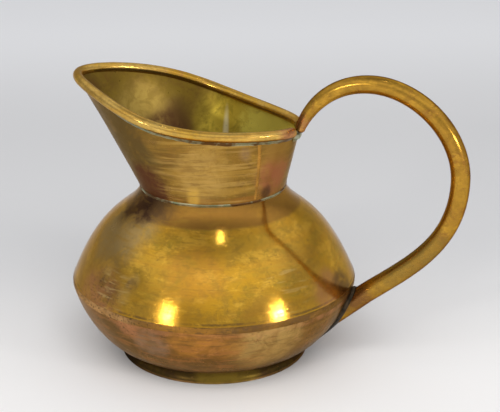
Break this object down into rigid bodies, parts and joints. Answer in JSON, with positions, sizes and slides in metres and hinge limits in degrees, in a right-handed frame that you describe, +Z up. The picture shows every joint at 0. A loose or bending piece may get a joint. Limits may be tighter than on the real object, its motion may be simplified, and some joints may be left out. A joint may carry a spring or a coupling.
{
  "type": "brass pouring jug",
  "caption": "Squat water jug of soldered sheet brass: creased round belly, flared collar with a raised pouring lip, rolled rim, tall tubular loop handle and a low foot ring.",
  "frame": {"origin": "centre of the foot ring's standing face, on the belly's axis", "axes": "+Z up along the belly's axis, +X from the axis toward the handle, so the pouring lip points along -X"},
  "size_m": [0.1951, 0.1418, 0.145],
  "materials": {
    "bowl_brass": "aged, brownish satin",
    "dome_brass": "polished, lightly tarnished",
    "seam_solder": "worn coppery braze line",
    "foot_brass": "tarnished satin",
    "dark_solder": "dark oxidised solder",
    "collar_brass": "fine circumferential polish lines, copper tarnish near the handle",
    "green_solder": "solder with verdigris",
    "rim_brass": "rubbed bright",
    "handle_brass": "polished by the hand"
  },
  "bodies": {
    "root": {"lower_bowl": "bowl_brass", "shoulder_dome": "dome_brass", "belly_solder": "seam_solder", "foot_ring": "foot_brass", "foot_solder": "dark_solder", "collar": "collar_brass", "collar_seam": "seam_solder", "neck_solder": "green_solder", "rim_roll": "rim_brass", "rim_solder": "green_solder", "handle_tube": "handle_brass", "handle_upper_solder": "green_solder", "handle_lower_solder": "dark_solder"}
  },
  "joints": []
}
